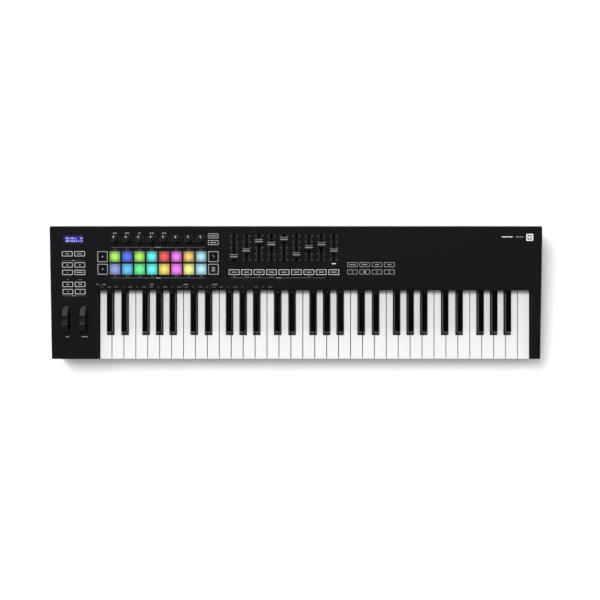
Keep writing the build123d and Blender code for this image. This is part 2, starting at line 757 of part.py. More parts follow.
def make_sockets():
    back = BACK - 1.2
    with BuildPart() as usb:
        with BuildSketch(Plane.XZ.offset(-back)):
            with Locations((USB_X, USB_Z)):
                Rectangle(12.0, 11.0)
        extrude(amount=16)
        with BuildSketch(Plane.XZ.offset(-back)):
            with Locations((USB_X, USB_Z)):
                Rectangle(8.5, 7.8)
                Rectangle(5.6, 3.2, mode=Mode.SUBTRACT)
        extrude(amount=9, mode=Mode.SUBTRACT)
    save(usb, "usb_socket")
    with BuildPart() as midi:
        with BuildSketch(Plane.XZ.offset(-back + 3.6)):
            with Locations((MIDI_X, MIDI_Z)):
                Rectangle(20.0, 19.6)
        extrude(amount=12)
        with BuildSketch(Plane.XZ.offset(-back)):
            with Locations((MIDI_X, MIDI_Z)):
                Circle(8.6)
        extrude(amount=4)
        with BuildSketch(Plane.XZ.offset(-back)):
            with Locations((MIDI_X, MIDI_Z)):
                Circle(7.2)
                Circle(5.6, mode=Mode.SUBTRACT)
        extrude(amount=9, mode=Mode.SUBTRACT)
        with BuildSketch(Plane.XZ.offset(-back)):
            with Locations((MIDI_X, MIDI_Z)):
                with PolarLocations(3.6, 5, start_angle=0, angular_range=180, endpoint=True):
                    Circle(0.75)
        extrude(amount=9, mode=Mode.SUBTRACT)
    save(midi, "midi_socket")
    with BuildPart() as jack:
        with BuildSketch(Plane.XZ.offset(-back + 3.6)):
            with Locations((PEDAL_X, PEDAL_Z)):
                Rectangle(15.0, 15.6)
        extrude(amount=26)
        with BuildSketch(Plane.XZ.offset(-back)):
            with Locations((PEDAL_X, PEDAL_Z)):
                Circle(4.9)
        extrude(amount=6)
        with BuildSketch(Plane.XZ.offset(-back)):
            with Locations((PEDAL_X, PEDAL_Z)):
                Circle(PEDAL_BORE)
        extrude(amount=27, mode=Mode.SUBTRACT)
    save(jack, "pedal_jack")


def make_ribbon_cables():
    """Two flat cables: keyboard to socket board, and control board to socket board."""
    board_z = top_height(74) - BOARD_DEPTH - BOARD_THICK - 0.8
    routes = (
        (-258, [(-7, 18.9), (4, 18.9), (9, 14), (9, 6.2), (72, 6.2), (84, 23.6)]),
        (-286, [(74, board_z), (74, 40), (84, 34), (84, 27.2)]),
    )
    with BuildPart() as cables:
        for x, points in routes:
            with BuildSketch(Plane.YZ.offset(x - 10)):
                with BuildLine() as route:
                    FilletPolyline(*points, radius=3.0)
                trace(lines=route.line, line_width=0.7)
            extrude(amount=20)
    save(cables, "ribbon_cables")


# ---------------------------------------------------------------- wheels
def make_wheel(name):
    """A wheel with a finger notch and its axle, which runs in the bracket and turns the pot beside it."""
    x = WHEELS_X[name]
    with BuildPart() as wheel:
        with BuildSketch(Plane.YZ.offset(x - WHEEL_WIDTH / 2)):
            with Locations((WHEEL_Y, WHEEL_Z)):
                Circle(WHEEL_RADIUS)
        extrude(amount=WHEEL_WIDTH)
        fillet(wheel.edges().filter_by(GeomType.CIRCLE), radius=1.6)
        with BuildSketch(Plane.YZ.offset(x - WHEEL_WIDTH)):
            with Locations((WHEEL_Y, WHEEL_Z + WHEEL_RADIUS + 2.4)):
                Circle(8.0)
        extrude(amount=2 * WHEEL_WIDTH, mode=Mode.SUBTRACT)
        # Dished sides and a hub
        for side in (x - WHEEL_WIDTH / 2, x + WHEEL_WIDTH / 2 - 3.4):
            with BuildSketch(Plane.YZ.offset(side)):
                with Locations((WHEEL_Y, WHEEL_Z)):
                    Circle(WHEEL_RADIUS - 7)
                    Circle(6.0, mode=Mode.SUBTRACT)
            extrude(amount=3.4, mode=Mode.SUBTRACT)
        with BuildSketch(Plane.YZ.offset(x - 10.4)):
            with Locations((WHEEL_Y, WHEEL_Z)):
                Circle(3.0)
        extrude(amount=24.6)
    save(wheel, f"{name}_wheel")


def make_wheel_bracket():
    with BuildPart() as bracket:
        with BuildSketch(Plane.XY.offset(FLOOR_TOP)):
            with Locations((-429, WHEEL_Y)):
                Rectangle(64, 34)
        extrude(amount=1.6)
        for x in WHEELS_X.values():
            for side in (x - 10.2, x + 7.8):
                with BuildSketch(Plane.YZ.offset(side)):
                    with BuildLine():
                        Polyline(
                            (WHEEL_Y - 15, FLOOR_TOP),
                            (WHEEL_Y + 15, FLOOR_TOP),
                            (WHEEL_Y + 7, WHEEL_Z + 6),
                            (WHEEL_Y - 7, WHEEL_Z + 6),
                            close=True,
                        )
                    make_face()
                    with Locations((WHEEL_Y, WHEEL_Z)):
                        Circle(3.05, mode=Mode.SUBTRACT)
                extrude(amount=2.2)
    save(bracket, "wheel_bracket")


def make_pitch_spring():
    """The torsion spring round the axle that brings the pitch wheel back to its middle."""
    start, wire, turns, pitch = WHEELS_X["pitch"] - 7.6, 0.28, 2.5, 0.62
    with BuildPart() as spring:
        with BuildLine() as coil:
            Helix(
                pitch=pitch,
                height=pitch * turns,
                radius=4.6,
                center=(start, WHEEL_Y, WHEEL_Z),
                direction=(1, 0, 0),
            )
        path = coil.line
        with BuildSketch(Plane(origin=path @ 0, z_dir=path % 0)):
            Circle(wire)
        sweep(path=path, is_frenet=True)
        for end, direction in ((path @ 0, -(path % 0)), (path @ 1, path % 1)):
            with BuildSketch(Plane(origin=end, z_dir=direction)):
                Circle(wire)
            extrude(amount=12)
    save(spring, "pitch_return_spring")


# ---------------------------------------------------------------- controls
def make_buttons(name, groups):
    """Silicone buttons: a cap in the opening, a flange that holds it in and a foot over its switch."""
    with BuildPart() as buttons:
        for places, size in groups:
            spots = [on_panel(x, y) for x, y in places]
            with BuildSketch(PANEL.offset(CAP_PROUD)):
                with Locations(*spots):
                    RectangleRounded(*size, 1.2)
            extrude(amount=-(CAP_PROUD + CAP_DEPTH - 2))
        tops = buttons.faces().filter_by(lambda f: f.normal_at().Z > 0.9)
        fillet(tops.edges(), radius=0.6)
        for places, size in groups:
            spots = [on_panel(x, y) for x, y in places]
            with BuildSketch(PANEL.offset(-WALL - 0.4)):
                with Locations(*spots):
                    Rectangle(size[0] + 1.8, size[1] + 1.8)
            extrude(amount=-1.0)
            with BuildSketch(PANEL.offset(-CAP_DEPTH + 2)):
                with Locations(*spots):
                    Circle(3.2)
            extrude(amount=-3.4)
    save(buttons, name)


def make_pads():
    with BuildPart() as pads:
        spots = [on_panel(x, y) for x, y in PADS]
        with BuildSketch(PANEL.offset(PAD_PROUD)):
            with Locations(*spots):
                RectangleRounded(*PAD_SIZE, 1.6)
        extrude(amount=-(PAD_PROUD + PAD_DEPTH))
        tops = pads.faces().filter_by(lambda f: f.normal_at().Z > 0.9)
        fillet(tops.edges(), radius=1.0)
        with BuildSketch(PANEL.offset(-WALL - 0.4)):
            with Locations(*spots):
                Rectangle(PAD_SIZE[0] + 1.8, PAD_SIZE[1] + 1.8)
        extrude(amount=-1.0)
    save(pads, "pads")


def make_knob(number, x):
    """A grooved knob on its spindle, which turns in the pot's bushing."""
    base = Plane(origin=PANEL.from_local_coords(Vector(*on_panel(x, KNOB_Y), 0)), x_dir=(1, 0, 0),
                 z_dir=PANEL.z_dir)
    bottom, height = 0.7, 12.1
    with BuildPart() as knob:
        with BuildSketch(base.offset(bottom)):
            Circle(6.5)
        extrude(amount=height, taper=3.0)
        fillet(knob.faces().sort_by(Axis.Z)[-1].edges(), radius=1.0)
        with BuildSketch(base.offset(bottom + 1.6)):
            with PolarLocations(6.55, 20):
                Circle(0.55)
        extrude(amount=height, mode=Mode.SUBTRACT)
        # A slot for the pointer line across half of the top
        with BuildSketch(base.offset(bottom + height - 0.5)):
            with Locations((0, 3.4)):
                Rectangle(1.0, 5.4)
        extrude(amount=2, mode=Mode.SUBTRACT)
        with BuildSketch(base.offset(bottom - 8.0)):
            Circle(2.98)
        extrude(amount=9.0)
    save(knob, f"knob_{number}")


def make_fader(number, x, y):
    """A fader cap on the flat lever of its slider."""
    place = PANEL.from_local_coords(Vector(*on_panel(x, y), 0))
    base = Plane(origin=place, x_dir=(1, 0, 0), z_dir=PANEL.z_dir)
    side = Plane(origin=place, x_dir=PANEL.y_dir, z_dir=(1, 0, 0))
    with BuildPart() as fader:
        with BuildSketch(side.offset(-7.7)):
            with BuildLine():
                Polyline((-5.2, 0.8), (5.2, 0.8), (4.3, 8.6), (3.0, 8.9))
                ThreePointArc((3.0, 8.9), (0, 7.5), (-3.0, 8.9))
                Polyline((-3.0, 8.9), (-4.3, 8.6), (-5.2, 0.8))
            make_face()
        extrude(amount=15.4)
        ends = fader.faces().filter_by(Axis.X).edges()
        chamfer(ends.filter_by(lambda e: e.center().Z > place.Z + 3), length=0.4)
        with BuildSketch(base.offset(1)):
            Rectangle(1.6, 4.2)
        extrude(amount=-7.0)
        with BuildSketch(base.offset(-5.4)):
            Rectangle(5.6, 7.6)
        extrude(amount=-3.2)
    save(fader, f"fader_{number}")


def make_controls():
    make_buttons("menu_buttons", [(MENU_BUTTONS, MENU_SIZE)])
    make_buttons("pad_side_buttons", [(SIDE_BUTTONS, SIDE_SIZE), (DEVICE_BUTTONS, DEVICE_SIZE)])
    make_buttons("track_buttons", [(TRACK_BUTTONS, TRACK_SIZE)])
    make_buttons("transport_buttons", [(TRANSPORT_BUTTONS, TRANSPORT_SIZE)])
    make_pads()
    for number, x in enumerate(PAD_COLUMNS, start=1):
        make_knob(number, x)
    for number, (x, y) in enumerate(zip(FADERS_X, FADER_PLACES), start=1):
        make_fader(number, x, y)


make_top_case()
make_bottom_case()
make_feet()
make_screws()
make_keys()
make_keybed_frame()
make_pivot_rod()
make_key_springs()
make_key_felts()
make_keybed_board()
make_contact_strips()
make_panel_board()
make_socket_board()
make_screen()
make_pad_sensor()
make_potentiometers()
make_fader_tracks()
make_sockets()
make_ribbon_cables()
for wheel_name in WHEELS_X:
    make_wheel(wheel_name)
make_wheel_bracket()
make_pitch_spring()
make_controls()
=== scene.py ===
"""Looks, light and camera for the keyboard synthesizer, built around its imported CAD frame."""

import json
import math

import bpy
from mathutils import Matrix, Vector


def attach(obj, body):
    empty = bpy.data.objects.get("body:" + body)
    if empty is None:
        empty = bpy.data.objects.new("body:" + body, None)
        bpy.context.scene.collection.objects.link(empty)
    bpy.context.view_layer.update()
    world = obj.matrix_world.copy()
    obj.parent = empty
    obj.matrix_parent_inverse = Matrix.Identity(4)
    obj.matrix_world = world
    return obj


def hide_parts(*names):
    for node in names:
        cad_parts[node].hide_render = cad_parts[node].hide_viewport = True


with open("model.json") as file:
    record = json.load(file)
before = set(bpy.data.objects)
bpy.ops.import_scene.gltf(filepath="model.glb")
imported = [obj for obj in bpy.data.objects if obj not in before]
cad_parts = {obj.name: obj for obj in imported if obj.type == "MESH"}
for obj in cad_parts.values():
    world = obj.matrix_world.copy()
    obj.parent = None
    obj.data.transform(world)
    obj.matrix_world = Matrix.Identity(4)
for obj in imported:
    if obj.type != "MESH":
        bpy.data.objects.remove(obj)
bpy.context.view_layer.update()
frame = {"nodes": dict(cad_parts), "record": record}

MM = 0.001
SLOPE = math.atan(15.0 / 258.0)
PANEL_MIDDLE = 58.5

# ---------------------------------------------------------------- layout of the top face, in millimetres
GRID_X, GRID_PITCH = -266.7, 23.8
COLUMNS = [GRID_X + (column - 4.5) * GRID_PITCH for column in range(10)]
PAD_X = COLUMNS[1:9]
PAD_ROWS = (70.0, 45.7)
KNOB_Y = 103.9
FADER_X = [-23.2 + (slot - 4) * 24.1 for slot in range(9)]
FADER_MIDDLE = 86.9
FADER_Y = (70.3, 81.4, 99.3, 93.3, 103.4, 74.0, 87.8, 93.3, 81.2)
MENU_X, MENU_Y = (-441.9, -417.9), (75.5, 54.0, 39.6, 16.4, 2.4)
TRANSPORT_X, TRANSPORT_Y = 109.2, (54.5, 40.4)
DEVICE_Y = (109.9, 97.0)
TRACK_Y = 40.1
SCREEN_X, SCREEN_Y = -431.0, 103.6
WHEELS = {"pitch": -446.2, "mod": -412.4}
WHEEL_Y, WHEEL_Z = -51.2, 37.5
CAP_TOP = 1.3
# Widths and depths of the button caps
MENU_CAP = (21.2, 10.6)
SIDE_CAP = (20.9, 21.5)
DEVICE_CAP = (21.2, 10.2)
TRACK_CAP = (21.2, 11.4)
TRANSPORT_CAP = (21.0, 10.0)


def srgb(red, green, blue, alpha=1.0):
    """A colour given as 0 to 255 display values, as linear values."""
    def linear(value):
        value /= 255.0
        return value / 12.92 if value <= 0.04045 else ((value + 0.055) / 1.055) ** 2.4
    return (linear(red), linear(green), linear(blue), alpha)


def scaled(color, factor):
    return (color[0] * factor, color[1] * factor, color[2] * factor, 1.0)


# ---------------------------------------------------------------- materials
def new_material(name):
    material = bpy.data.materials.new(name)
    material.use_nodes = True
    tree = material.node_tree
    return material, tree, tree.nodes["Principled BSDF"]


def noise(tree, vector, scale, detail=3.0, roughness=0.5):
    node = tree.nodes.new("ShaderNodeTexNoise")
    node.inputs["Scale"].default_value = scale
    node.inputs["Detail"].default_value = detail
    node.inputs["Roughness"].default_value = roughness
    tree.links.new(vector, node.inputs["Vector"])
    return node.outputs["Fac"]


def ramp(tree, factor, stops):
    node = tree.nodes.new("ShaderNodeValToRGB")
    elements = node.color_ramp.elements
    while len(elements) < len(stops):
        elements.new(0.5)
    for element, (position, color) in zip(elements, stops):
        element.position = position
        element.color = color
    tree.links.new(factor, node.inputs["Fac"])
    return node.outputs["Color"]


def spread(tree, value, low, high, source=(0.3, 0.7)):
    """Maps a noise value to a range."""
    node = tree.nodes.new("ShaderNodeMapRange")
    node.inputs["From Min"].default_value = source[0]
    node.inputs["From Max"].default_value = source[1]
    node.inputs["To Min"].default_value = low
    node.inputs["To Max"].default_value = high
    tree.links.new(value, node.inputs["Value"])
    return node.outputs["Result"]


def bump(tree, shader, height, strength, distance):
    node = tree.nodes.new("ShaderNodeBump")
    node.inputs["Strength"].default_value = strength
    node.inputs["Distance"].default_value = distance
    tree.links.new(height, node.inputs["Height"])
    tree.links.new(node.outputs["Normal"], shader.inputs["Normal"])


def stretched(tree, stretch=(1.0, 1.0, 1.0)):
    """Object coordinates, stretched along one axis for brushed or moulded marks."""
    coords = tree.nodes.new("ShaderNodeTexCoord")
    mapping = tree.nodes.new("ShaderNodeMapping")
    mapping.inputs["Scale"].default_value = stretch
    tree.links.new(coords.outputs["Object"], mapping.inputs["Vector"])
    return mapping.outputs["Vector"]


def surface(name, color, rough, metal=0.0, specular=0.5, grain=1400.0, relief=0.12, vary=0.18,
            rough_vary=0.06, stretch=(1.0, 1.0, 1.0), coat=0.0, sheen=0.0, cloud=45.0):
    """A moulded, brushed or printed surface: clouded colour, uneven roughness and a fine grain."""
    material, tree, shader = new_material(name)
    vector = stretched(tree, stretch)
    clouds = noise(tree, vector, cloud, 4.0, 0.6)
    grains = noise(tree, vector, grain, 2.0, 0.5)
    tint = ramp(tree, clouds, [(0.3, scaled(color, 1.0 - vary)), (0.7, scaled(color, 1.0 + vary))])
    tree.links.new(tint, shader.inputs["Base Color"])
    tree.links.new(spread(tree, clouds, rough - rough_vary, rough + rough_vary), shader.inputs["Roughness"])
    bump(tree, shader, grains, relief, 0.0004)
    shader.inputs["Metallic"].default_value = metal
    shader.inputs["Specular IOR Level"].default_value = specular
    shader.inputs["Coat Weight"].default_value = coat
    shader.inputs["Sheen Weight"].default_value = sheen
    return material


def board_material(name):
    """Solder mask over fine copper traces."""
    material, tree, shader = new_material(name)
    vector = stretched(tree)
    brick = tree.nodes.new("ShaderNodeTexBrick")
    brick.inputs["Scale"].default_value = 160.0
    brick.inputs["Color1"].default_value = srgb(16, 70, 42)
    brick.inputs["Color2"].default_value = srgb(12, 58, 36)
    brick.inputs["Mortar"].default_value = srgb(60, 120, 74)
    brick.inputs["Mortar Size"].default_value = 0.04
    tree.links.new(vector, brick.inputs["Vector"])
    tree.links.new(brick.outputs["Color"], shader.inputs["Base Color"])
    tree.links.new(spread(tree, noise(tree, vector, 300.0), 0.28, 0.42), shader.inputs["Roughness"])
    bump(tree, shader, brick.outputs["Fac"], 0.2, 0.0003)
    return material


def ribbon_material(name):
    """Flat cable with a line for each of its cores."""
    material, tree, shader = new_material(name)
    vector = stretched(tree)
    wave = tree.nodes.new("ShaderNodeTexWave")
    wave.bands_direction = "X"
    wave.inputs["Scale"].default_value = 250.0
    tree.links.new(vector, wave.inputs["Vector"])
    tint = ramp(tree, wave.outputs["Fac"], [(0.2, srgb(120, 120, 122)), (0.6, srgb(178, 178, 180))])
    tree.links.new(tint, shader.inputs["Base Color"])
    tree.links.new(spread(tree, noise(tree, vector, 200.0), 0.4, 0.55), shader.inputs["Roughness"])
    bump(tree, shader, wave.outputs["Fac"], 0.4, 0.0003)
    return material


def glow_material(name, centre, edge, reach, strength):
    """Translucent silicone lit from below, brighter over its lamp; reach is the glow's radius."""
    material, tree, shader = new_material(name)
    coords = tree.nodes.new("ShaderNodeTexCoord")
    length = tree.nodes.new("ShaderNodeVectorMath")
    length.operation = "LENGTH"
    flat = tree.nodes.new("ShaderNodeVectorMath")
    flat.operation = "MULTIPLY"
    flat.inputs[1].default_value = (1.0, 1.0, 0.0)
    tree.links.new(coords.outputs["Object"], flat.inputs[0])
    tree.links.new(flat.outputs["Vector"], length.inputs[0])
    share = tree.nodes.new("ShaderNodeMapRange")
    share.inputs["From Max"].default_value = reach
    tree.links.new(length.outputs["Value"], share.inputs["Value"])
    mottle = noise(tree, coords.outputs["Object"], 260.0, 4.0, 0.6)
    mixed = tree.nodes.new("ShaderNodeMath")
    mixed.operation = "MULTIPLY_ADD"
    mixed.inputs[1].default_value = 0.16
    tree.links.new(mottle, mixed.inputs[0])
    tree.links.new(share.outputs["Result"], mixed.inputs[2])
    middle = tuple(c * 0.62 + e * 0.38 for c, e in zip(centre, edge))
    color = ramp(tree, mixed.outputs["Value"], [(0.1, centre), (0.58, middle), (0.98, edge)])
    # The sides, down inside the case, glow far less than the top
    split = tree.nodes.new("ShaderNodeSeparateXYZ")
    tree.links.new(coords.outputs["Object"], split.inputs["Vector"])
    shade = ramp(tree, spread(tree, split.outputs["Z"], 0.0, 1.0, (0.0, 0.0014)),
                 [(0.0, (0.05, 0.05, 0.05, 1.0)), (0.5, (0.2, 0.2, 0.2, 1.0)), (1.0, (1.0, 1.0, 1.0, 1.0))])
    product = tree.nodes.new("ShaderNodeVectorMath")
    product.operation = "MULTIPLY"
    tree.links.new(color, product.inputs[0])
    tree.links.new(shade, product.inputs[1])
    tree.links.new(product.outputs["Vector"], shader.inputs["Emission Color"])
    base = ramp(tree, mottle, [(0.3, scaled(edge, 0.10)), (0.7, scaled(edge, 0.16))])
    tree.links.new(base, shader.inputs["Base Color"])
    shader.inputs["Emission Strength"].default_value = strength
    tree.links.new(spread(tree, mottle, 0.46, 0.58), shader.inputs["Roughness"])
    shader.inputs["Specular IOR Level"].default_value = 0.15
    bump(tree, shader, noise(tree, coords.outputs["Object"], 2200.0), 0.1, 0.0003)
    return material


def glass_material(name):
    """Clear cover over the screen."""
    material, tree, shader = new_material(name)
    vector = stretched(tree)
    smear = noise(tree, vector, 70.0)
    tint = ramp(tree, smear, [(0.3, srgb(8, 8, 26)), (0.7, srgb(12, 12, 34))])
    tree.links.new(tint, shader.inputs["Base Color"])
    tree.links.new(spread(tree, smear, 0.10, 0.2), shader.inputs["Roughness"])
    shader.inputs["Alpha"].default_value = 0.16
    shader.inputs["Specular IOR Level"].default_value = 0.2
    return material


def lit_material(name, cloud, dark, light, base=None):
    """A lit surface whose glow is slightly clouded; base is its own colour, if it matters."""
    material, tree, shader = new_material(name)
    glow = ramp(tree, noise(tree, stretched(tree), cloud), [(0.3, dark), (0.7, light)])
    tree.links.new(glow, shader.inputs["Emission Color"])
    shader.inputs["Emission Strength"].default_value = 1.0
    if base:
        shader.inputs["Base Color"].default_value = base
    return material


def wheel_material(name):
    """Soft rubber with painted shade: darker in the finger notch and towards the player, where a lamp from
    behind leaves it in shade.
    """
    material, tree, shader = new_material(name)
    vector = stretched(tree)
    from_axle = tree.nodes.new("ShaderNodeVectorMath")
    from_axle.operation = "MULTIPLY_ADD"
    from_axle.inputs[1].default_value = (0.0, 1.0, 1.0)
    from_axle.inputs[2].default_value = (0.0, -WHEEL_Y * MM, -WHEEL_Z * MM)
    tree.links.new(vector, from_axle.inputs[0])
    radius = tree.nodes.new("ShaderNodeVectorMath")
    radius.operation = "LENGTH"
    tree.links.new(from_axle.outputs["Vector"], radius.inputs[0])
    split = tree.nodes.new("ShaderNodeSeparateXYZ")
    tree.links.new(from_axle.outputs["Vector"], split.inputs["Vector"])
    # Painted shade: darkened at smaller radius (the finger notch and the flanks down in the slot) and over
    # the half towards the player; this shading turns with the wheel
    notch_shade = spread(tree, radius.outputs["Value"], 0.2, 1.0, (28.2 * MM, 30.4 * MM))
    front_shade = spread(tree, split.outputs["Y"], 0.16, 1.0, (-11.0 * MM, -8.6 * MM))
    shade = tree.nodes.new("ShaderNodeMath")
    shade.operation = "MULTIPLY"
    tree.links.new(notch_shade, shade.inputs[0])
    tree.links.new(front_shade, shade.inputs[1])
    clouds = noise(tree, vector, 45.0, 4.0, 0.6)
    tint = tree.nodes.new("ShaderNodeVectorMath")
    tint.operation = "SCALE"
    tree.links.new(ramp(tree, clouds, [(0.3, srgb(53, 53, 56)), (0.7, srgb(60, 60, 63))]), tint.inputs[0])
    tree.links.new(shade.outputs["Value"], tint.inputs["Scale"])
    tree.links.new(tint.outputs["Vector"], shader.inputs["Base Color"])
    tree.links.new(spread(tree, clouds, 0.46, 0.58), shader.inputs["Roughness"])
    shader.inputs["Specular IOR Level"].default_value = 0.08
    bump(tree, shader, noise(tree, vector, 1000.0, 2.0), 0.3, 0.0004)
    return material


CASE_COLOR = srgb(27, 26, 31)
MATERIALS = {
    "case_plastic": surface("case_plastic", scaled(CASE_COLOR, 0.36), 0.62, specular=0.08, relief=0.16,
                            vary=0.06, cloud=9.0),
    "base_plastic": surface("base_plastic", srgb(20, 20, 21), 0.6, specular=0.3, relief=0.25, grain=900.0),
    "feet_rubber": surface("feet_rubber", srgb(30, 30, 30), 0.8, specular=0.25, relief=0.3, sheen=0.05),
    "screw_steel": surface("screw_steel", srgb(120, 120, 124), 0.35, metal=1.0, stretch=(1, 1, 0.1)),
    "frame_plastic": surface("frame_plastic", srgb(52, 52, 55), 0.55, relief=0.2, stretch=(0.3, 1, 1)),
    "rod_steel": surface("rod_steel", srgb(200, 200, 202), 0.25, metal=1.0, stretch=(0.05, 1, 1)),
    "spring_steel": surface("spring_steel", srgb(176, 176, 180), 0.3, metal=1.0, stretch=(1, 0.1, 1)),
    "felt": surface("felt", srgb(150, 40, 46), 0.95, specular=0.1, relief=0.9, grain=700.0, sheen=0.5,
                    cloud=200.0),
    "contact_silicone": surface("contact_silicone", srgb(150, 150, 154), 0.6, specular=0.4),
    "circuit_board": board_material("circuit_board"),
    "screen_body": surface("screen_body", srgb(22, 22, 26), 0.5),
    "screen_glass": glass_material("screen_glass"),
    "pot_metal": surface("pot_metal", srgb(170, 170, 168), 0.38, metal=1.0, stretch=(1, 0.1, 1)),
    "slider_body": surface("slider_body", srgb(10, 10, 11), 0.7, specular=0.1),
    "sensor_sheet": surface("sensor_sheet", srgb(30, 30, 34), 0.5),
    "bracket_steel": surface("bracket_steel", srgb(170, 172, 176), 0.4, metal=1.0, stretch=(1, 0.15, 1)),
    "socket_metal": surface("socket_metal", srgb(190, 190, 192), 0.3, metal=1.0, stretch=(0.1, 1, 1)),
    "socket_plastic": surface("socket_plastic", srgb(24, 24, 25), 0.5),
    "ribbon": ribbon_material("ribbon"),
    "white_key": surface("white_key", srgb(229, 229, 230), 0.32, specular=0.42, relief=0.03, vary=0.012,
                         rough_vary=0.04, grain=900.0, coat=0.12, stretch=(1, 0.4, 1), cloud=30.0),
    "black_key": surface("black_key", srgb(3, 3, 4), 0.17, specular=0.16, relief=0.02, vary=0.15,
                         rough_vary=0.02, grain=1600.0),
    "wheel_rubber": wheel_material("wheel_rubber"),
    "knob_plastic": surface("knob_plastic", srgb(8, 8, 9), 0.22, specular=0.55, relief=0.06),
    "fader_plastic": surface("fader_plastic", srgb(15, 15, 17), 0.34, specular=0.35, relief=0.08),
    "button_silicone": surface("button_silicone", srgb(7, 7, 8), 0.62, specular=0.08, relief=0.15),
}

for entry in frame["record"]["subparts"]:
    slots = frame["nodes"][entry["node"]].data.materials
    finish = MATERIALS.get(entry["material_slot"])
    if finish:
        slots.clear()
        slots.append(finish)

# Inks of the printed marks: colour and how far it varies
INKS = {
    "bright": (srgb(236, 236, 238), 0.05),
    "clear": (srgb(208, 208, 211), 0.05),
    "plain": (srgb(158, 158, 162), 0.06),
    "dim": (srgb(108, 108, 112), 0.08),
    "faint": (srgb(56, 56, 60), 0.1),
    "red": (srgb(142, 66, 64), 0.06),
}
PRINT = {ink: surface(f"print_{ink}", color, 0.5, specular=0.3, vary=vary, relief=0.05, cloud=300.0)
         for ink, (color, vary) in INKS.items()}


# ---------------------------------------------------------------- geometry helpers
def at(x, y, lift=0.0):
    """A point over the top face from its place in plan, in metres; lift is measured square to the face."""
    z = PANEL_MIDDLE + y * math.tan(SLOPE)
    return Vector((x, y - lift * math.sin(SLOPE), z + lift * math.cos(SLOPE))) * MM


def placed(x, y, lift=0.0):
    """Local axes on the top face: x across, y up the slope, z square to it."""
    return Matrix.Translation(at(x, y, lift)) @ Matrix.Rotation(SLOPE, 4, "X")


def make_mesh(name, points, faces, material, smooth=False):
    mesh = bpy.data.meshes.new(name)
    mesh.from_pydata(points, [], faces)
    mesh.update()
    for polygon in mesh.polygons:
        polygon.use_smooth = smooth
    mesh.materials.append(material)
    piece = bpy.data.objects.new(name, mesh)
    bpy.context.scene.collection.objects.link(piece)
    return piece


def rounded_outline(width, depth, radius, steps=5):
    """Corner points of a rounded rectangle round the origin, anticlockwise."""
    points = []
    for corner, (sx, sy) in enumerate(((1, 1), (-1, 1), (-1, -1), (1, -1))):
        cx, cy = sx * (width / 2 - radius), sy * (depth / 2 - radius)
        for step in range(steps + 1):
            angle = math.radians(90 * corner + 90 * step / steps)
            points.append((cx + radius * math.cos(angle), cy + radius * math.sin(angle)))
    return points


class Marks:
    """Collects printed marks that share a material and a body, and makes one thin raised mesh of them."""

    def __init__(self, name, body, ink, lift, slot, thick=0.08):
        self.name, self.body, self.ink, self.lift, self.slot = name, body, ink, lift, slot
        self.thick = thick
        self.points, self.faces = [], []

    def shape(self, outline):
        """A filled convex outline, given in plan."""
        count, first = len(outline), len(self.points)
        for lift in (self.lift, self.lift + self.thick):
            self.points += [at(x, y, lift) for x, y in outline]
        self.faces.append([first + count + i for i in range(count)])
        self.sides(first, first + count, count)

    def sides(self, low, high, count, flip=False):
        for i in range(count):
            j = (i + 1) % count
            face = [low + i, low + j, high + j, high + i]
            self.faces.append(face[::-1] if flip else face)

    def bar(self, x, y, width, height):
        self.shape([(x - width / 2, y - height / 2), (x + width / 2, y - height / 2),
                    (x + width / 2, y + height / 2), (x - width / 2, y + height / 2)])

    def disc(self, x, y, radius, steps=20):
        angles = [2 * math.pi * i / steps for i in range(steps)]
        self.shape([(x + radius * math.cos(angle), y + radius * math.sin(angle)) for angle in angles])

    def arrow(self, x, y, size, direction):
        """A filled triangle that points along a direction in degrees."""
        angles = [math.radians(direction + turn) for turn in (0, 120, 240)]
        self.shape([(x + size * math.cos(angle), y + size * math.sin(angle)) for angle in angles])

    def frame(self, x, y, width, height, radius, line):
        """A rounded outline of even width."""
        outer = rounded_outline(width, height, radius)
        inner = rounded_outline(width - 2 * line, height - 2 * line, max(radius - line, 0.25))
        count, first = len(outer), len(self.points)
        for lift in (self.lift, self.lift + self.thick):
            self.points += [at(x + px, y + py, lift) for px, py in outer]
            self.points += [at(x + px, y + py, lift) for px, py in inner]
        low_out, low_in, top_out, top_in = (first + count * k for k in range(4))
        for i in range(count):
            j = (i + 1) % count
            self.faces.append([top_out + i, top_out + j, top_in + j, top_in + i])
        self.sides(low_out, top_out, count)
        self.sides(low_in, top_in, count, flip=True)

    def arc(self, x, y, radius, line, start, end, steps=14):
        """Part of a ring, by angles in degrees."""
        first, top = len(self.points), self.lift + self.thick
        for i in range(steps + 1):
            angle = math.radians(start + (end - start) * i / steps)
            for r in (radius - line / 2, radius + line / 2):
                self.points.append(at(x + r * math.cos(angle), y + r * math.sin(angle), top))
        for i in range(steps):
            a = first + 2 * i
            self.faces.append([a, a + 1, a + 3, a + 2])

    def words(self, x, y, widths, height, gap=0.7):
        """A label as a row of short plain strokes, which stands in for lettering."""
        left = x - (sum(widths) + gap * (len(widths) - 1)) / 2
        for width in widths:
            self.bar(left + width / 2, y, width, height)
            left += width + gap

    def build(self):
        piece = make_mesh(self.name, self.points, self.faces, PRINT[self.ink])
        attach(piece, self.body)
        return piece


# ---------------------------------------------------------------- printed marks on the case
bright = Marks("print_labels_bright", "chassis", "bright", 0.0, "case_plastic")
plain = Marks("print_labels", "chassis", "plain", 0.0, "case_plastic")
dim = Marks("print_lines", "chassis", "dim", 0.0, "case_plastic")
faint = Marks("print_scales", "chassis", "faint", 0.0, "case_plastic")

# Knob labels and scale arcs
KNOB_SCALE_RADIUS, KNOB_SCALE_LINE = 8.3, 0.5
KNOB_LABEL_Y = 115.2
KNOB_LABELS = ((2.6, 3.4), (4.6, 3.0), (4.6,), (3.4, 4.4), (4.8, 3.4))
for x in PAD_X:
    faint.arc(x, KNOB_Y, KNOB_SCALE_RADIUS, KNOB_SCALE_LINE, -50, 230, 30)
for x, widths in zip(PAD_X, KNOB_LABELS):
    plain.words(x, KNOB_LABEL_Y, widths, 1.5)


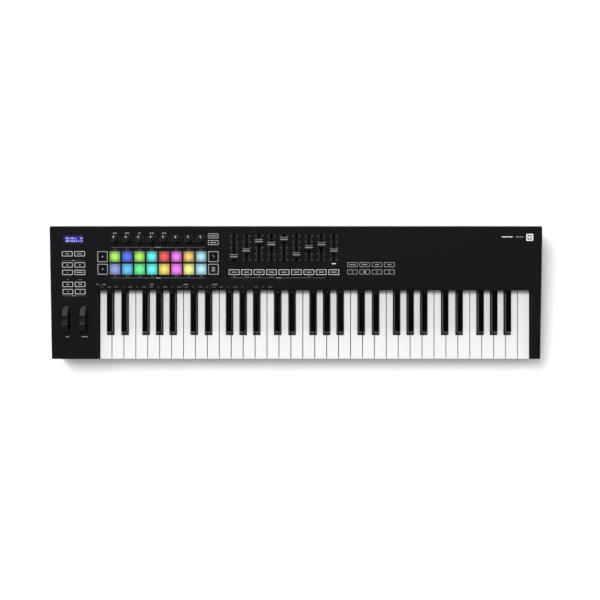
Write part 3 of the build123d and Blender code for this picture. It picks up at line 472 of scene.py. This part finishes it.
def ruled_label(y, left, right, middle, label, weight=0.55):
    """A line across a group of controls, broken by the group's label."""
    half = sum(label) / 2 + 2.2
    for a, b in ((left, middle - half), (middle + half, right)):
        dim.bar((a + b) / 2, y, b - a, weight)
    plain.words(middle, y, label, 1.3)


PADS_LEFT, PADS_RIGHT = PAD_X[0] - 8, PAD_X[-1] + 8
MENU_LEFT, MENU_RIGHT = SCREEN_X - 22.0, SCREEN_X + 22.0
ruled_label(87.8, PADS_LEFT, PADS_RIGHT, GRID_X, (3.2, 4.4, 2.6))
ruled_label(28.8, PADS_LEFT, PADS_RIGHT, GRID_X, (4.4, 5.2))
ruled_label(62.4, MENU_LEFT, MENU_RIGHT, SCREEN_X, (5.0,))
ruled_label(-5.8, MENU_LEFT, MENU_RIGHT, SCREEN_X, (3.4, 3.2))
ruled_label(29.0, FADER_X[0] - 6, FADER_X[-2] + 8, FADER_X[3] + 14, (4.6, 5.4))

# Small labels over and under the pads, over the lower menu buttons and under the faders
ABOVE_PADS_Y, BELOW_PADS_Y = 83.6, 32.0
UNLABELLED_PAD = 4
LABELLED_FADERS = (0, 1, 2, 3, 6)
for index, x in enumerate(PAD_X):
    if index != UNLABELLED_PAD:
        dim.words(x, ABOVE_PADS_Y, (3.4, 2.6) if index % 2 else (4.2, 2.2), 1.0)
        dim.words(x, BELOW_PADS_Y, (2.6, 3.8) if index % 3 else (4.0,), 1.0)
for x, widths in zip(MENU_X, ((3.8,), (3.6, 3.2))):
    dim.words(x, 25.9, widths, 1.1)
for index in LABELLED_FADERS:
    dim.words(FADER_X[index], 31.6, (3.6, 2.4) if index % 2 else (4.4,), 1.0)
bright.words(FADER_X[8], 56.4, (4.2, 3.2), 1.7)

# Fader scales: a rail each side of the slot, with long and short ticks
TICK_STEP = 11.6
RAIL_OFFSET, LONG_OFFSET, SHORT_OFFSET = 4.4, 6.6, 5.6
for x in FADER_X:
    for side in (-1, 1):
        faint.bar(x + side * RAIL_OFFSET, FADER_MIDDLE, 0.5, 49.0)
        for step in range(5):
            y = FADER_MIDDLE + (step - 2) * TICK_STEP
            dim.bar(x + side * LONG_OFFSET, y, 3.4, 0.6)
        for step in range(4):
            for part in (1, 2, 3):
                y = FADER_MIDDLE + (step - 2) * TICK_STEP + part * TICK_STEP / 4
                faint.bar(x + side * SHORT_OFFSET, y, 1.6, 0.4)

# Labels over the keys
FIRST_LABEL_X, LABEL_PITCH = -375.4, 13.58
LABEL_SLOTS = (*range(21), 22, 23, 24)
LABEL_SHAPES = ((2.4,), (3.2, 2.0), (4.6, 2.4), (3.4, 2.2), (2.0,))
GROUP_LABELS = ((-384.5, (3.0,)), (-371.5, (4.6,)), (-279.0, (3.0, 2.0)), (-213.0, (3.6, 3.4)),
                (-157.0, (4.0, 3.4)))
for slot in LABEL_SLOTS:
    dim.words(FIRST_LABEL_X + LABEL_PITCH * slot, 11.4, LABEL_SHAPES[(slot * 3) % 5], 1.2)
for x, widths in GROUP_LABELS:
    plain.words(x, 16.2, widths, 1.3)
for x in (-378.0, -219.0, -164.0):
    dim.bar(x, 13.9, 0.5, 5.2)

# Wheel labels, plain strokes in place of a name, and a plain badge
WHEEL_LABEL_Y = -85.2
NAME_Y = 108.0
BADGE_X, BADGE_Y, BADGE_SIZE = 451.5, 107.1, 13.3
plain.words(WHEELS["pitch"] + 1.4, WHEEL_LABEL_Y, (2.2, 3.0), 1.3)
plain.words(WHEELS["mod"] + 1.6, WHEEL_LABEL_Y, (4.6, 4.0, 2.2), 1.3)
bright.words(408.0, NAME_Y, (10.6, 8.8), 1.5, gap=1.2)
plain.words(431.5, NAME_Y, (7.6, 5.2), 1.2, gap=1.4)
bright.frame(BADGE_X, BADGE_Y, BADGE_SIZE, BADGE_SIZE, 1.2, 2.2)
for offset, height in ((-2.7, 3.4), (0.0, 6.4), (2.7, 4.8)):
    bright.bar(BADGE_X + offset, BADGE_Y, 1.7, height)
for marks in (bright, plain, dim, faint):
    marks.build()


# ---------------------------------------------------------------- marks on the buttons
def button_marks(name, body, line_ink="plain"):
    return (Marks(f"{name}_outlines", body, line_ink, CAP_TOP, "button_silicone"),
            Marks(f"{name}_symbols", body, "plain", CAP_TOP, "button_silicone"))


def outline(marks, x, y, cap, line=1.15):
    """The printed border of a cap, just inside its eased edge."""
    width, depth = cap
    marks.frame(x, y, width - 1.0, depth - 1.0, 1.0, line)


menu_lines, menu_symbols = button_marks("menu", "menu_buttons", "clear")
for y in MENU_Y:
    for x in MENU_X:
        outline(menu_lines, x, y, MENU_CAP, 0.9)
left, right = MENU_X
menu_symbols.words(left, MENU_Y[0], (3.2, 2.4), 1.7)
menu_symbols.words(right, MENU_Y[0], (4.2, 3.4), 1.7)
menu_symbols.arrow(left, MENU_Y[1], 2.1, 180)
menu_symbols.arrow(right, MENU_Y[1], 2.1, 0)
menu_symbols.bar(left, MENU_Y[2], 2.6, 1.0)
menu_symbols.words(right, MENU_Y[2], (4.0, 3.6, 2.8), 2.2)
menu_symbols.words(left, MENU_Y[3], (2.8, 1.2), 2.0)
menu_symbols.words(right, MENU_Y[3], (3.0, 3.4), 2.0)
menu_symbols.bar(left, MENU_Y[4], 3.2, 1.0)
menu_symbols.bar(right, MENU_Y[4], 3.2, 1.0)
menu_symbols.bar(right, MENU_Y[4], 1.0, 3.2)

side_lines, side_symbols = button_marks("side", "pad_side_buttons")
for x in (COLUMNS[0], COLUMNS[9]):
    for y in PAD_ROWS:
        outline(side_lines, x, y, SIDE_CAP, 1.25)
for y in DEVICE_Y:
    outline(side_lines, COLUMNS[9], y, DEVICE_CAP)
    side_symbols.words(COLUMNS[9], y, (4.4, 5.0, 2.6) if y > 100 else (5.4, 5.0), 1.7)
side_symbols.arrow(COLUMNS[0], PAD_ROWS[0], 2.2, 90)
side_symbols.arrow(COLUMNS[0], PAD_ROWS[1], 2.2, 270)
# A chevron from two slanted bars
BAR_HALF = 0.55
for turn in (-1, 1):
    tip_x, tip_y = COLUMNS[9] + 1.7, PAD_ROWS[0]
    tail_x, tail_y = COLUMNS[9] - 1.3, PAD_ROWS[0] + turn * 2.8
    slanted = [(tip_x, tip_y - BAR_HALF), (tip_x, tip_y + BAR_HALF),
               (tail_x + 0.4, tail_y + BAR_HALF), (tail_x - 0.4, tail_y - BAR_HALF)]
    side_symbols.shape(slanted[::turn])
for row, widths in enumerate(((3.4, 2.6), (2.6, 3.0), (4.6, 1.4))):
    side_symbols.words(COLUMNS[9], PAD_ROWS[1] + (1 - row) * 3.2, widths, 1.8)

track_lines, track_symbols = button_marks("track", "track_buttons", "clear")
for index, x in enumerate(FADER_X):
    outline(track_lines, x, TRACK_Y, TRACK_CAP, 1.0)
    track_symbols.words(x, TRACK_Y, (5.6, 4.4) if index == 8 else (4.6, 4.2), 1.9)

transport_lines, transport_symbols = button_marks("transport", "transport_buttons")
transport_red = Marks("transport_record_dot", "transport_buttons", "red", CAP_TOP, "button_silicone")
TRANSPORT_LABELS = ((6.0, 5.4), (5.0, 4.2), (3.4, 3.4), (4.6, 2.4))
for step, widths in enumerate(TRANSPORT_LABELS):
    x = TRANSPORT_X + GRID_PITCH * step
    for y in TRANSPORT_Y:
        outline(transport_lines, x, y, TRANSPORT_CAP, 0.8)
    transport_symbols.words(x, TRANSPORT_Y[0], widths, 1.4)
low = TRANSPORT_Y[1]
transport_symbols.arrow(TRANSPORT_X, low, 1.9, 0)
transport_symbols.bar(TRANSPORT_X + GRID_PITCH, low, 4.0, 4.0)
transport_red.disc(TRANSPORT_X + 2 * GRID_PITCH, low, 2.0)
for start in (30, 210):
    transport_symbols.arc(TRANSPORT_X + 3 * GRID_PITCH, low, 2.2, 0.7, start, start + 120)
for marks in (menu_lines, menu_symbols, side_lines, side_symbols, track_lines, track_symbols,
              transport_lines, transport_symbols, transport_red):
    marks.build()

# ---------------------------------------------------------------- lit pads
HUES = {
    "lime": srgb(182, 255, 108),
    "blue": srgb(96, 120, 255),
    "aqua": srgb(108, 255, 255),
    "red": srgb(255, 96, 100),
    "magenta": srgb(255, 132, 255),
    "amber": srgb(255, 214, 116),
    "pale_blue": srgb(184, 238, 255),
    "lavender": srgb(150, 166, 228),
    "sky": srgb(104, 206, 255),
    "green": srgb(114, 255, 154),
    "yellow": srgb(255, 230, 108),
    "cream": srgb(255, 255, 156),
}
PAD_HUES = (("lime", "blue", "lime", "aqua", "red", "magenta", "amber", "pale_blue"),
            ("lavender", "sky", "green", "aqua", "yellow", "magenta", "cream", "pale_blue"))
# Brightness at a pad's corners, as a share of its middle, for each row
EDGE_SHARE = (0.22, 0.36)
GLOW_REACH, GLOW_STRENGTH = 0.0118, 1.05
PAD_WIDTH, PAD_DEPTH = 20.9, 21.5
# Rings of a pad from its foot to its crown: (height, inset)
PAD_RINGS = ((-6.4, 0.0), (-2.0, 0.0), (0.5, 0.0), (1.0, 0.12), (1.3, 0.4), (1.45, 0.8), (1.53, 1.6),
             (1.57, 3.2), (1.59, 5.6), (1.6, 8.0))


def make_pad(name, x, y, material):
    """One silicone pad with a soft edge and a barely crowned top, in its own axes on the panel."""
    points, faces = [], []
    for height, inset in PAD_RINGS:
        radius = max(1.6 - inset * 0.5, 0.3)
        outline_points = rounded_outline(PAD_WIDTH - 2 * inset, PAD_DEPTH - 2 * inset, radius, 6)
        points += [(px * MM, py * MM, height * MM) for px, py in outline_points]
    count = len(points) // len(PAD_RINGS)
    for level in range(len(PAD_RINGS) - 1):
        low, high = level * count, (level + 1) * count
        for i in range(count):
            j = (i + 1) % count
            faces.append([low + i, low + j, high + j, high + i])
    top = (len(PAD_RINGS) - 1) * count
    faces.append([top + i for i in range(count)])
    faces.append([i for i in reversed(range(count))])
    piece = make_mesh(name, points, faces, material, smooth=True)
    piece.matrix_world = placed(x, y)
    return piece


for row, y in enumerate(PAD_ROWS):
    for column, x in enumerate(PAD_X):
        centre = HUES[PAD_HUES[row][column]]
        edge = tuple(value * EDGE_SHARE[row] + 0.01 for value in centre[:3]) + (1.0,)
        glow = glow_material(f"pad_glow_{row + 1}_{column + 1}", centre, edge, GLOW_REACH, GLOW_STRENGTH)
        pad = make_pad(f"pad_{row + 1}_{column + 1}", x, y, glow)
        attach(pad, "pads")
        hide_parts("pads")


# ---------------------------------------------------------------- knob pointers and fader lines
def local_box(name, frame_matrix, low, high, material, body, slot):
    """A thin filled mark in local axes, with its top edges eased."""
    ease = min(high[0] - low[0], high[1] - low[1]) * 0.12
    rings = ((low[2], 0.0), (high[2] - ease, 0.0), (high[2], ease))
    points, faces = [], []
    for z, inset in rings:
        for px, py in ((low[0] + inset, low[1] + inset), (high[0] - inset, low[1] + inset),
                       (high[0] - inset, high[1] - inset), (low[0] + inset, high[1] - inset)):
            points.append(frame_matrix @ Vector((px * MM, py * MM, z * MM)))
    for level in range(2):
        for i in range(4):
            j = (i + 1) % 4
            faces.append([4 * level + i, 4 * level + j, 4 * level + 4 + j, 4 * level + 4 + i])
    faces += [[8, 9, 10, 11], [3, 2, 1, 0]]
    piece = make_mesh(name, points, faces, material)
    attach(piece, body)
    return piece


# Lowest and highest corners of each mark on its own control
POINTER_BOX = ((-0.46, 1.7, 12.32), (0.46, 6.0, 12.7))
FADER_LINE_BOX = ((-7.3, -0.55, 7.3), (7.3, 0.55, 7.62))
for number, x in enumerate(PAD_X, start=1):
    local_box(f"knob_{number}_pointer", placed(x, KNOB_Y), *POINTER_BOX, PRINT["bright"], f"knob_{number}",
              "knob_plastic")
for number, (x, y) in enumerate(zip(FADER_X, FADER_Y), start=1):
    local_box(f"fader_{number}_line", placed(x, y), *FADER_LINE_BOX, PRINT["plain"], f"fader_{number}",
              "fader_plastic")

# ---------------------------------------------------------------- screen picture: two rows of plain blocks
screen_back = lit_material("screen_backlight", 60.0, srgb(30, 33, 160), srgb(44, 47, 196), srgb(10, 10, 40))
screen_ink = lit_material("screen_pixels", 400.0, srgb(128, 131, 250), srgb(170, 172, 255))
screen_rim = lit_material("screen_rim", 60.0, srgb(8, 9, 58), srgb(12, 14, 84), srgb(8, 8, 24))

SCREEN_DEPTH = -1.72
RIM_SIZE = (38.8, 15.6)
LIT_X, LIT_Y = SCREEN_X + 1.9, SCREEN_Y - 0.6
LIT_SIZE = (34.6, 10.8)


def screen_piece(name, rectangles, lift, material):
    """Flat rectangles on the screen, each given by its middle and size."""
    points, faces = [], []
    for x, y, width, height in rectangles:
        first = len(points)
        for sx, sy in ((-1, -1), (1, -1), (1, 1), (-1, 1)):
            points.append(at(x + sx * width / 2, y + sy * height / 2, lift))
        faces.append([first, first + 1, first + 2, first + 3])
    piece = make_mesh(name, points, faces, material)
    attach(piece, "chassis")
    return piece


screen_piece("screen_rim", [(SCREEN_X, SCREEN_Y, *RIM_SIZE)], SCREEN_DEPTH - 0.03, screen_rim)
screen_piece("screen_backlight", [(LIT_X, LIT_Y, *LIT_SIZE)], SCREEN_DEPTH, screen_back)
# Two rows of columns, each a stack of as many blocks as its digit says
CELL_PITCH, ROW_PITCH, BLOCK_PITCH = 2.05, 5.0, 1.15
BLOCK_SIZE = (1.5, 0.85)
cells = []
for row, pattern in enumerate(("3332033302000033", "2322032230302023")):
    for column, level in enumerate(pattern):
        for block in range(int(level)):
            x = LIT_X - 15.4 + column * CELL_PITCH
            y = LIT_Y + 1.2 - row * ROW_PITCH + block * BLOCK_PITCH
            cells.append((x, y, *BLOCK_SIZE))
screen_piece("screen_blocks", cells, SCREEN_DEPTH + 0.05, screen_ink)

# ---------------------------------------------------------------- floor, light and camera
floor_material = surface("floor_paper", srgb(248, 248, 248), 0.9, specular=0.0, vary=0.004, relief=0.02,
                         grain=200.0, cloud=3.0)
floor_shader = floor_material.node_tree.nodes["Principled BSDF"]
floor_shader.inputs["Emission Color"].default_value = (1.0, 1.0, 1.0, 1.0)
floor_shader.inputs["Emission Strength"].default_value = 0.04
FLOOR_HALF = 20.0
floor_corners = [(sx * FLOOR_HALF, sy * FLOOR_HALF, 0) for sx, sy in ((-1, -1), (1, -1), (1, 1), (-1, 1))]
floor = make_mesh("floor", floor_corners, [(0, 1, 2, 3)], floor_material)
floor.location.z = -0.0002


def soft_lamp(name, place, spread_angle, strength, floor_state):
    """A wide, far lamp that shines towards the origin, on the floor alone or on all but the floor."""
    data = bpy.data.lights.new(name, "SUN")
    data.angle = math.radians(spread_angle)
    data.energy = strength
    lamp = bpy.data.objects.new(name, data)
    lamp.location = place
    lamp.rotation_euler = (-Vector(place)).to_track_quat("-Z", "Y").to_euler()
    bpy.context.scene.collection.objects.link(lamp)
    lit = bpy.data.collections.new(f"{name}_floor")
    lit.objects.link(floor)
    lit.collection_objects[0].light_linking.link_state = floor_state
    lamp.light_linking.receiver_collection = lit


soft_lamp("key_light", (-0.35, 1.7, 4.05), spread_angle=24.0, strength=2.25, floor_state="EXCLUDE")
soft_lamp("shadow_light", (-2.1, 1.85, 4.0), spread_angle=33.0, strength=2.7, floor_state="INCLUDE")

# Studio walls brighter than the ceiling, so that flat tops stay dark and edges catch the light
world = bpy.data.worlds.new("studio")
bpy.context.scene.world = world
world.use_nodes = True
tree = world.node_tree
background = tree.nodes["Background"]
direction = tree.nodes.new("ShaderNodeTexCoord")
split = tree.nodes.new("ShaderNodeSeparateXYZ")
tree.links.new(direction.outputs["Generated"], split.inputs["Vector"])
sky = ramp(tree, split.outputs["Z"], [(0.0, (1.0, 1.0, 1.0, 1.0)), (0.55, (0.9, 0.9, 0.9, 1.0)),
                                      (0.84, (0.4, 0.4, 0.41, 1.0)), (0.96, (0.05, 0.05, 0.06, 1.0))])
tree.links.new(sky, background.inputs["Color"])
background.inputs["Strength"].default_value = 0.95

camera_data = bpy.data.cameras.new("camera")
camera = bpy.data.objects.new("camera", camera_data)
bpy.context.scene.collection.objects.link(camera)
camera.location = (0.0078, -0.0139, 1.68)
camera.rotation_euler = (0.0, 0.0, 0.0)
camera_data.lens = 50.18
camera_data.sensor_width = 36.0
camera_data.clip_end = 50.0
camera_data.dof.use_dof = False
bpy.context.scene.camera = camera

scene = bpy.context.scene
scene.view_settings.view_transform = "Standard"
scene.view_settings.look = "None"
scene.view_settings.exposure = 0.0
